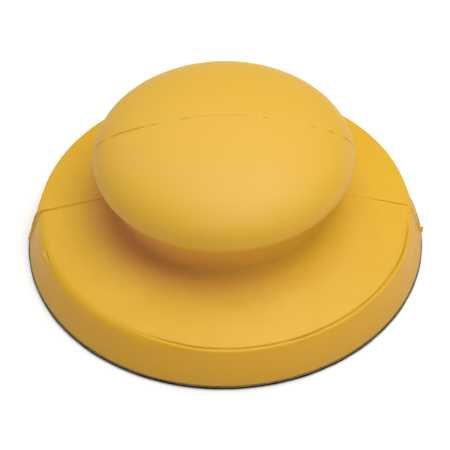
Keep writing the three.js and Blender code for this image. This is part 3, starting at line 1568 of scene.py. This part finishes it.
@dataclass
class HookTape:
    """The hook tape: a coated back, a woven ground of warp and weft, and standing hooks.

    Sizes are in millimetres. The yarns and hooks are spaced a little wider than on real
    tape, so that each one shows. A hook's handles, tip and stub are shares of its height
    and reach.
    """

    radius: float
    hook_top: float
    cloth_top: float
    back: float = 0.12
    turns: int = 300
    fused_width: float = 0.85
    fused_foot: float = 0.1
    fused_proud: float = 0.05
    fused_sway: float = 0.06
    fused_sway_mm: float = 3.0
    drip_share: float = 0.6
    drip_mm: float = 1.7
    pitch: float = 1.7
    yarn_margin: float = 1.3
    yarn_width: float = 1.25
    yarn_thickness: float = 0.16
    hook_margin: float = 2.0
    hook_root: float = 0.15
    hook_wire: float = 0.13
    hook_reach: float = 0.62
    hook_apex: float = 1.3
    hook_tip: float = 0.42
    hook_bulge: float = 1.15
    stub_at: float = 1.5
    hook_nudge: float = 0.16
    hook_swing: float = 0.35
    hook_seed: int = 7
    floor_gap: float = 0.03

    def back_section(self, angle: np.ndarray) -> list[tuple]:
        """Shapes the coated back, whose edge a hot knife fused into a curled rim.

        Args:
            angle: Angles in radians.

        Returns:
            Radius and height of each row at those angles, from underneath to on top.
        """
        at, wander = circle(self.radius, 0, angle), Lumps(41)
        sway = self.fused_sway * wander.at(at, self.fused_sway_mm)
        edge = self.radius + self.fused_proud + sway - cut_in(angle)
        drip = self.fused_foot * (1 + self.drip_share * wander.at(at + 90, self.drip_mm))
        low, high = self.cloth_top - self.back, self.cloth_top
        return [
            (self.radius / 2, low),
            (edge - 1.2, low),
            (edge - self.fused_width, 0.5 * (low + drip)),
            (edge - 0.85 * self.fused_width, drip),
            (edge - 0.55 * self.fused_width, drip + 0.02),
            (edge - 0.3 * self.fused_width, drip + 0.25),
            (edge - 0.05, 0.6 * (low + drip)),
            (edge, high - 0.15),
            (edge - 0.2, high),
            (edge - 1.2, high),
            (self.radius / 2, high),
        ]

    def yarn_tool(self, material: bpy.types.Material) -> GeometryTool:
        """Builds the tree that weaves one set of yarns.

        Rows of a grid become splines, clipped to the disc, waved over and under, and swept
        with a flat four-sided section.

        Args:
            material: What the yarns are made of.

        Returns:
            The tree, ready to run.
        """
        tool = GeometryTool(
            "weave_yarns",
            {
                "Radius": ("NodeSocketFloat", 0.075),
                "Pitch": ("NodeSocketFloat", 0.0017),
                "Height": ("NodeSocketFloat", 0.001),
                "Wave": ("NodeSocketFloat", 0.0001),
                "Width": ("NodeSocketFloat", 0.001),
                "Thickness": ("NodeSocketFloat", 0.0002),
                "Phase": ("NodeSocketFloat", 0.0),
                "Quarter Turns": ("NodeSocketFloat", 0.0),
            },
        )
        given = tool.given
        side = tool.first("ShaderNodeMath", {0: given["Radius"], 1: 2.0}, operation="MULTIPLY")
        pitches = tool.first("ShaderNodeMath", {0: side, 1: given["Pitch"]}, operation="DIVIDE")
        rows = tool.first("ShaderNodeMath", {0: pitches}, operation="ROUND")
        columns = tool.first("ShaderNodeMath", {0: rows, 1: 2.0}, operation="MULTIPLY")
        links = {"Size X": side, "Size Y": side, "Vertices X": columns, "Vertices Y": rows}
        disc = tool.clipped(tool.first("GeometryNodeMeshGrid", links))
        ends = tool.node("GeometryNodeInputMeshEdgeVertices").outputs
        links = {0: ends["Position 1"], 1: ends["Position 2"]}
        step = tool.first("ShaderNodeVectorMath", links, operation="SUBTRACT")
        sideways = tool.node("ShaderNodeSeparateXYZ", {0: step}).outputs["Y"]
        length = tool.first("ShaderNodeMath", {0: sideways}, operation="ABSOLUTE")
        across = tool.first("ShaderNodeMath", {0: length, 1: 1e-6}, operation="GREATER_THAN")
        links = {"Geometry": disc, "Selection": across}
        lone = tool.first("GeometryNodeDeleteGeometry", links, domain="EDGE", mode="EDGE_FACE")
        splines = tool.first("GeometryNodeMeshToCurve", {"Mesh": lone})
        place = tool.first("GeometryNodeInputPosition")
        at = tool.node("ShaderNodeSeparateXYZ", {0: place}).outputs
        over = tool.first("ShaderNodeMath", {0: at["Y"], 1: given["Pitch"]}, operation="DIVIDE")
        row = tool.first("ShaderNodeMath", {0: over}, operation="ROUND")
        run = tool.first("ShaderNodeMath", {0: at["X"], 1: given["Pitch"]}, operation="DIVIDE")
        staggered = tool.first("ShaderNodeMath", {0: run, 1: row}, operation="ADD")
        swing = tool.first("ShaderNodeMath", {0: staggered, 1: given["Phase"]}, operation="ADD")
        angle = tool.first("ShaderNodeMath", {0: swing, 1: math.pi}, operation="MULTIPLY")
        wave = tool.first("ShaderNodeMath", {0: angle}, operation="COSINE")
        links = {0: wave, 1: given["Wave"], 2: given["Height"]}
        lift = tool.first("ShaderNodeMath", links, operation="MULTIPLY_ADD")
        shift = tool.first("ShaderNodeCombineXYZ", {"Z": lift})
        waved = tool.first("GeometryNodeSetPosition", {"Geometry": splines, "Offset": shift})
        upright = tool.first("GeometryNodeSetCurveNormal", {"Curve": waved}, mode="Z_UP")
        links = {"Width": given["Width"], "Height": given["Thickness"]}
        profile = tool.first("GeometryNodeCurvePrimitiveQuadrilateral", links)
        links = {"Curve": upright, "Profile Curve": profile, "Fill Caps": True}
        swept = tool.first("GeometryNodeCurveToMesh", links)
        links = {0: given["Quarter Turns"], 1: math.pi / 2}
        spin = tool.first("ShaderNodeMath", links, operation="MULTIPLY")
        turn = tool.first("ShaderNodeCombineXYZ", {"Z": spin})
        turned = tool.first("GeometryNodeTransform", {"Geometry": swept, "Rotation": turn})
        tool.finish(turned, material)
        return tool

    def wire(self, tool: GeometryTool) -> bpy.types.NodeSocket:
        """Bends one hook of three-sided wire, with the short stub of the loop it was cut from.

        Args:
            tool: The tree that stands the hooks.

        Returns:
            The hook, hanging from the origin.
        """
        given = tool.given
        parts = {
            "apex": (given["Hook Height"], -self.hook_apex),
            "tip": (given["Hook Height"], -self.hook_tip),
            "bulge": (given["Reach"], self.hook_bulge),
            "stub": (given["Reach"], self.stub_at),
        }
        part = {
            name: tool.first("ShaderNodeMath", {0: size, 1: share}, operation="MULTIPLY")
            for name, (size, share) in parts.items()
        }
        corners = {
            "Start Handle": {"Z": part["apex"]},
            "End Handle": {"X": part["bulge"], "Z": part["apex"]},
            "End": {"X": given["Reach"], "Z": part["tip"]},
        }
        links = {label: tool.first("ShaderNodeCombineXYZ", at) for label, at in corners.items()}
        links |= {"Resolution": 7, "Start": (0.0, 0.0, 0.0)}
        hook = tool.first("GeometryNodeCurvePrimitiveBezierSegment", links)
        corners = {"Start": {"X": part["stub"]}, "End": {"X": part["stub"], "Z": part["tip"]}}
        links = {label: tool.first("ShaderNodeCombineXYZ", at) for label, at in corners.items()}
        stub = tool.first("GeometryNodeCurvePrimitiveLine", links)
        curves = tool.node("GeometryNodeJoinGeometry")
        for curve in (hook, stub):
            tool.tree.links.new(curve, curves.inputs[0])
        links = {"Resolution": 3, "Radius": given["Wire"]}
        ring = tool.first("GeometryNodeCurvePrimitiveCircle", links)
        links = {"Curve": curves.outputs[0], "Profile Curve": ring, "Fill Caps": True}
        return tool.first("GeometryNodeCurveToMesh", links)

    def hook_tool(self, material: bpy.types.Material) -> GeometryTool:
        """Builds the tree that stands hooks on the ground.

        Points of a grid are clipped to the disc and nudged by a seeded random offset, and
        each takes one hook.

        Args:
            material: What the hooks are made of.

        Returns:
            The tree, ready to run.
        """
        tool = GeometryTool(
            "stand_hooks",
            {
                "Radius": ("NodeSocketFloat", 0.074),
                "Row Pitch": ("NodeSocketFloat", 0.0034),
                "Pitch": ("NodeSocketFloat", 0.0017),
                "Root Height": ("NodeSocketFloat", 0.0009),
                "Hook Height": ("NodeSocketFloat", 0.0008),
                "Reach": ("NodeSocketFloat", 0.0006),
                "Wire": ("NodeSocketFloat", 0.0001),
                "Lean": ("NodeSocketFloat", 1.0),
                "Row Shift": ("NodeSocketFloat", 0.0),
                "Seed": ("NodeSocketInt", 7),
            },
        )
        given = tool.given
        side = tool.first("ShaderNodeMath", {0: given["Radius"], 1: 2.0}, operation="MULTIPLY")
        counts = []
        for label in ("Pitch", "Row Pitch"):
            pitches = tool.first("ShaderNodeMath", {0: side, 1: given[label]}, operation="DIVIDE")
            counts.append(tool.first("ShaderNodeMath", {0: pitches}, operation="ROUND"))
        columns, rows = counts
        links = {0: rows, 1: given["Row Pitch"]}
        long_way = tool.first("ShaderNodeMath", links, operation="MULTIPLY")
        links = {"Size X": side, "Size Y": long_way, "Vertices X": columns, "Vertices Y": rows}
        sheet = tool.first("GeometryNodeMeshGrid", links)
        shift = tool.first("ShaderNodeCombineXYZ", {"Y": given["Row Shift"]})
        rowed = tool.first("GeometryNodeSetPosition", {"Geometry": sheet, "Offset": shift})
        nudge = self.hook_nudge * MM
        links = {"Min": (-nudge, -nudge, 0.0), "Max": (nudge, nudge, 0.0), "Seed": given["Seed"]}
        offset = tool.first("FunctionNodeRandomValue", links, data_type="FLOAT_VECTOR")
        moved = tool.first("GeometryNodeSetPosition", {"Geometry": rowed, "Offset": offset})
        links = {2: -self.hook_swing, 3: self.hook_swing, "Seed": given["Seed"]}
        swing = tool.node("FunctionNodeRandomValue", links, data_type="FLOAT").outputs[1]
        behind = tool.first("ShaderNodeMath", {0: 1.0, 1: given["Lean"]}, operation="SUBTRACT")
        back = tool.first("ShaderNodeMath", {0: behind, 1: math.pi / 2}, operation="MULTIPLY")
        spin = tool.first("ShaderNodeMath", {0: back, 1: swing}, operation="ADD")
        turn = tool.first("ShaderNodeCombineXYZ", {"Z": spin})
        links = {"Points": tool.clipped(moved), "Instance": self.wire(tool), "Rotation": turn}
        stood = tool.first("GeometryNodeInstanceOnPoints", links)
        lift = tool.first("ShaderNodeCombineXYZ", {"Z": given["Root Height"]})
        raised = tool.first("GeometryNodeTransform", {"Geometry": stood, "Translation": lift})
        tool.finish(raised, material)
        return tool

    def weave(self, tool: GeometryTool, way: Weave) -> bpy.types.Object:
        """Weaves one set of yarns.

        Args:
            tool: The tree from yarn_tool.
            way: Warp or weft.

        Returns:
            The piece.
        """
        middle = (self.hook_top + self.cloth_top - self.back) / 2
        wave = (self.cloth_top - self.back - self.hook_top - self.yarn_thickness) / 2
        sizes = {
            "Radius": self.radius - self.yarn_margin,
            "Pitch": self.pitch,
            "Height": middle,
            "Wave": wave,
            "Width": self.yarn_width,
            "Thickness": self.yarn_thickness,
        }
        values = {label: size * MM for label, size in sizes.items()}
        values["Phase"] = 0.0 if way is Weave.WARP else 1.0
        values["Quarter Turns"] = 0.0 if way is Weave.WARP else 1.0
        return tool.run(f"tape_{way.value}_yarns", values)

    def stand(self, tool: GeometryTool, lean: HookLean) -> bpy.types.Object:
        """Stands one set of hooks.

        Args:
            tool: The tree from hook_tool.
            lean: Which way the hooks face.

        Returns:
            The piece.
        """
        root = self.hook_top + self.hook_root
        sizes = {
            "Radius": self.radius - self.hook_margin,
            "Row Pitch": 2 * self.pitch,
            "Pitch": self.pitch,
            "Root Height": root,
            "Hook Height": root - self.floor_gap - self.hook_wire,
            "Reach": self.hook_reach,
            "Wire": self.hook_wire,
            "Row Shift": lean.value * self.pitch / 2,
        }
        values = {label: size * MM for label, size in sizes.items()}
        values["Lean"] = float(lean.value)
        values["Seed"] = self.hook_seed + lean.value
        return tool.run(f"hooks_{lean.name.lower()}", values)

    def build(self) -> list[bpy.types.Object]:
        """Makes the tape's pieces, dresses them and ties them to the frame.

        Returns:
            The pieces.
        """
        back = ring_disc("tape_coated_back", self.back_section, self.turns)
        dress(back, COATED_BACK.build())
        yarn_tool = self.yarn_tool(WOVEN_YARN.build())
        yarns = [self.weave(yarn_tool, way) for way in Weave]
        hook_tool = self.hook_tool(HOOK_WIRE.build())
        hooks = [self.stand(hook_tool, lean) for lean in HookLean]
        for piece in (back, *yarns):
            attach(piece, ROOT)
            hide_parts("hook_tape_ground")
        for piece in hooks:
            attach(piece, ROOT)
            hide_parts("hook_pile")
        return [back, *yarns, *hooks]


# --------------------------------------------------------------------------- the studio


WARM = "#FFE2CE"


@dataclass(frozen=True)
class SoftBox:
    """One square panel of soft studio light, placed by direction and distance."""

    name: str
    azimuth: float
    elevation: float
    power: float
    colour: str = WHITE
    distance: float = 1.3
    size: float = 0.75

    def build(self, target: Vector) -> None:
        """Hangs the light so that it faces the target.

        Args:
            target: What it is aimed at.
        """
        data = bpy.data.lights.new(self.name, "AREA")
        data.shape = "SQUARE"
        data.size = self.size
        data.energy = self.power
        data.color = linear(self.colour)[:3]
        light = bpy.data.objects.new(self.name, data)
        towards = direction(self.azimuth, self.elevation)
        light.location = target + towards * self.distance
        light.rotation_euler = (-towards).to_track_quat("-Z", "Y").to_euler()
        bpy.context.scene.collection.objects.link(light)


@dataclass(frozen=True)
class Camera:
    """A long lens that looks down on the float from the front.

    Angles are in degrees and lengths in metres. The roll is a slight lean of the camera.
    """

    azimuth: float = 0.21
    elevation: float = 45.55
    roll: float = -1.11
    distance: float = 0.7163
    lens: float = 150.7
    aim_height: float = 0.0074

    def build(self) -> None:
        """Makes the camera and sets it as the scene's."""
        back = direction(self.azimuth, self.elevation)
        level = Vector((0, 0, 1)).cross(back).normalized()
        upright = back.cross(level)
        lean = math.radians(self.roll)
        right = math.cos(lean) * level + math.sin(lean) * upright
        up = back.cross(right)
        data = bpy.data.cameras.new("camera")
        data.lens = self.lens
        data.sensor_width = 36.0
        data.clip_start, data.clip_end = 0.01, 20.0
        camera = bpy.data.objects.new("camera", data)
        turn = Matrix((right, up, back)).transposed().to_4x4()
        aim = Vector((0, 0, self.aim_height))
        camera.matrix_world = Matrix.Translation(aim + back * self.distance) @ turn
        bpy.context.scene.collection.objects.link(camera)
        bpy.context.scene.camera = camera


@dataclass(frozen=True)
class Studio:
    """A pale floor under a dome of soft panels, brightest overhead and to the right."""

    surround: str = WHITE
    surround_strength: float = 0.05
    floor_half: float = 4.0
    lights: tuple[SoftBox, ...] = (
        SoftBox("overhead", 0.0, 90.0, 3.95),
        SoftBox("high_front", 0.0, 62.0, 2.2),
        SoftBox("high_right", 60.0, 62.0, 5.5),
        SoftBox("high_right_back", 120.0, 62.0, 3.25),
        SoftBox("high_back", 180.0, 62.0, 2.15),
        SoftBox("high_left_back", 240.0, 62.0, 1.4),
        SoftBox("high_left", 300.0, 62.0, 0.45, WARM),
        SoftBox("low_right", 45.0, 36.0, 0.67),
        SoftBox("low_right_back", 135.0, 36.0, 0.35),
        SoftBox("low_left_back", 225.0, 36.0, 1.5),
    )

    def build(self, low: Vector, high: Vector) -> None:
        """Lays the floor under the float and hangs the lights round it.

        Args:
            low: The float's lowest corner.
            high: The float's highest corner.
        """
        half = self.floor_half
        mesh = bpy.data.meshes.new("floor")
        corners = [(x, y, low.z) for x, y in ((-half, -half), (half, -half), (half, half), (-half, half))]
        mesh.from_pydata(corners, [], [(0, 1, 2, 3)])
        floor = bpy.data.objects.new("floor", mesh)
        bpy.context.scene.collection.objects.link(floor)
        dress(floor, PaleFloor().build())
        floor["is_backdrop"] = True
        middle = (low + high) / 2
        for light in self.lights:
            light.build(middle)
        world = bpy.data.worlds.new("surround")
        world.use_nodes = True
        back = world.node_tree.nodes["Background"]
        back.inputs["Color"].default_value = linear(self.surround)
        back.inputs["Strength"].default_value = self.surround_strength
        bpy.context.scene.world = world
        bpy.context.scene.view_settings.view_transform = "Standard"


# --------------------------------------------------------------------------- everything


def height_of(node: str, top: bool) -> float:
    """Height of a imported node's top or bottom, in millimetres."""
    low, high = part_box(node)
    return (high if top else low)[2] / MM


def half_width_of(node: str) -> float:
    """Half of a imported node's extent along Y, in millimetres."""
    low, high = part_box(node)
    return (high[1] - low[1]) / 2 / MM


def build_float() -> list[bpy.types.Object]:
    """Builds every piece of the float in order.

    Returns:
        The pieces.
    """
    shape = MouldOutline(
        foot=height_of("adhesive_film", top=True),
        foot_radius=half_width_of("adhesive_film"),
        crown_top=height_of("moulded_skin", top=True) - PACKED_FLASH,
    )
    builders = [
        FoamMoulding(shape),
        AdhesiveLayer(
            radius=half_width_of("adhesive_film"),
            bottom=height_of("adhesive_film", top=False),
            top=height_of("adhesive_film", top=True),
        ),
        HookTape(
            radius=half_width_of("hook_pile"),
            hook_top=height_of("hook_pile", top=True),
            cloth_top=height_of("hook_tape_ground", top=True),
        ),
    ]
    pieces = []
    for builder in builders:
        made = builder.build()
        for piece in made:
            LOG.info("%s: %s, %d faces", type(builder).__name__, piece.name, len(piece.data.polygons))
        pieces += made
    return pieces


def main() -> None:
    """Builds the camera, the float and the studio."""
    logging.basicConfig(level=logging.INFO, format="%(message)s")
    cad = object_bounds()
    Camera().build()
    build_float()
    Studio().build(Vector(cad[0]), Vector(cad[1]))


if __name__ == "__main__":
    main()
